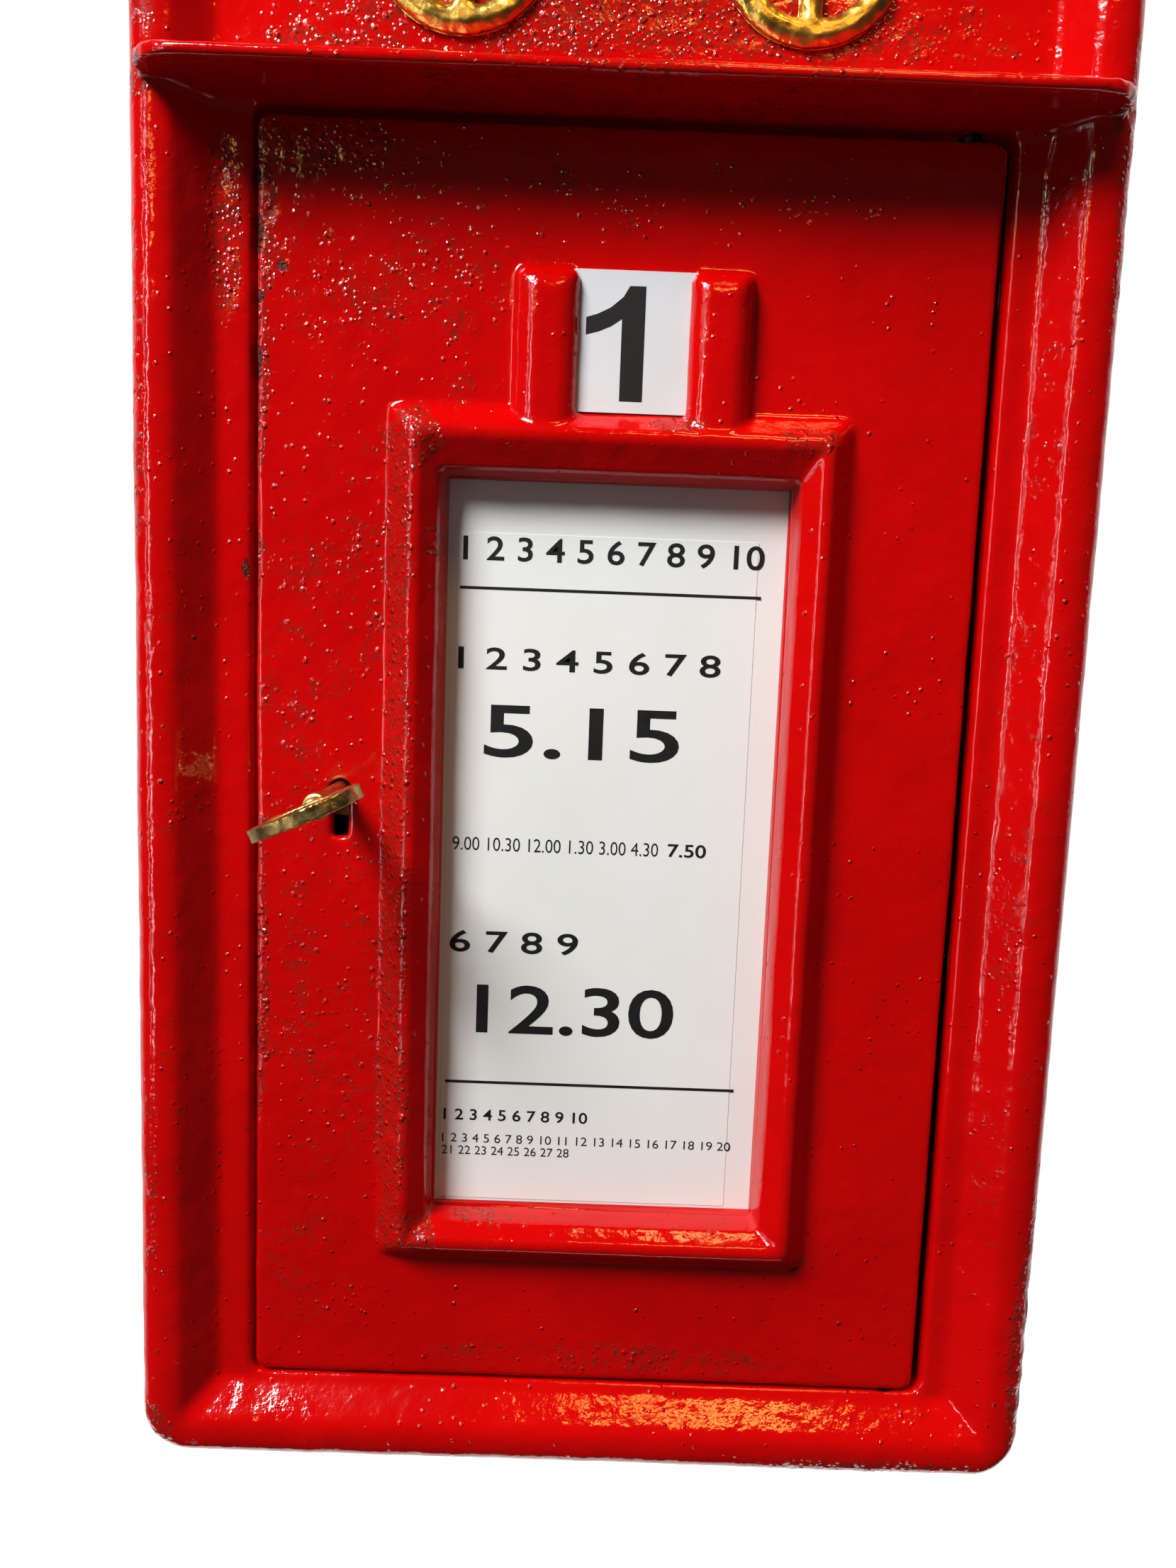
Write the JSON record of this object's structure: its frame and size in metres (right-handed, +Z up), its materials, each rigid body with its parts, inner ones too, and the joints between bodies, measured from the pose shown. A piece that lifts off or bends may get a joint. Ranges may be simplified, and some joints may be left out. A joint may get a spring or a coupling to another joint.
{
  "type": "wall letter box",
  "caption": "Cast-iron wall letter box with an arched hood, posting slot, hinged door with a notice window, number tablet and lever lock with its key.",
  "frame": {"origin": "centre of the four wall bolt holes, on the back plate's rear face", "axes": "+Z up, +Y into the wall, so the front with the door and the slot faces -Y, and +X is to the right seen from the front"},
  "size_m": [0.265, 0.218, 0.5733],
  "materials": {
    "red_paint": "thick glossy brushed enamel on cast iron",
    "black_paint": "satin black paint on cast iron",
    "gold_paint": "gold leaf paint on cast relief",
    "printed_card": "laminated printed sheet",
    "enamel_tablet": "white enamelled plate with a black number",
    "zinc_steel": "zinc plated",
    "lock_steel": "plain steel",
    "lock_brass": "plain brass",
    "key_brass": "worn brass"
  },
  "bodies": {
    "box": {"body_casting": "red_paint", "back_plate": "black_paint", "back_plate_screws": "zinc_steel", "slot_baffle": "zinc_steel", "baffle_screws": "zinc_steel", "gold_ornaments": "gold_paint", "hinge_pin_upper": "zinc_steel", "hinge_set_screw": "zinc_steel", "hinge_pin_lower": "zinc_steel", "hinge_washer": "key_brass", "strike_plate": "zinc_steel", "strike_screws": "zinc_steel"},
    "door": {"door_casting": "red_paint", "notice_card": "printed_card", "notice_backing": "zinc_steel", "retaining_straps": "zinc_steel", "strap_screws": "zinc_steel", "lock_case": "lock_steel", "lock_cap": "lock_steel", "lock_cap_screws": "zinc_steel", "lock_mounting_screws": "zinc_steel", "lever_post": "lock_brass"},
    "tablet": {"number_tablet": "enamel_tablet"},
    "bolt": {"lock_bolt": "lock_brass", "bolt_stump": "lock_brass"},
    "levers": {"lever_1": "lock_brass", "lever_2": "lock_brass", "lever_3": "lock_brass", "lever_4": "lock_brass", "lever_springs": "lock_brass"},
    "key": {"key": "key_brass", "key_curtain": "key_brass"}
  },
  "joints": [
    {"name": "door_hinge", "type": "hinge", "parent": "box", "child": "door", "pos_m": [0.0887, -0.162, -0.046], "axis": [0, 0, 1], "range_deg": [0, 105]},
    {"name": "key_turn", "type": "hinge", "parent": "door", "child": "key", "pos_m": [-0.073, -0.168, -0.0472], "axis": [0, 1, 0], "range_deg": [-290, 0]},
    {"name": "bolt_slide", "type": "slide", "parent": "door", "child": "bolt", "axis": [1, 0, 0], "range_m": [-0.011, 0]},
    {"name": "lever_lift", "type": "hinge", "parent": "door", "child": "levers", "pos_m": [-0.059, -0.168, -0.0182], "axis": [0, 1, 0], "range_deg": [0, 5.1]},
    {"name": "tablet_slide", "type": "slide", "parent": "door", "child": "tablet", "axis": [0, 0, 1], "range_m": [0, 0.03]}
  ],
  "couplings": [
    {"joint": "bolt_slide", "follows": "key_turn", "m_per_rad": 0.00217},
    {"joint": "lever_lift", "follows": "key_turn", "ratio": -0.01724}
  ]
}
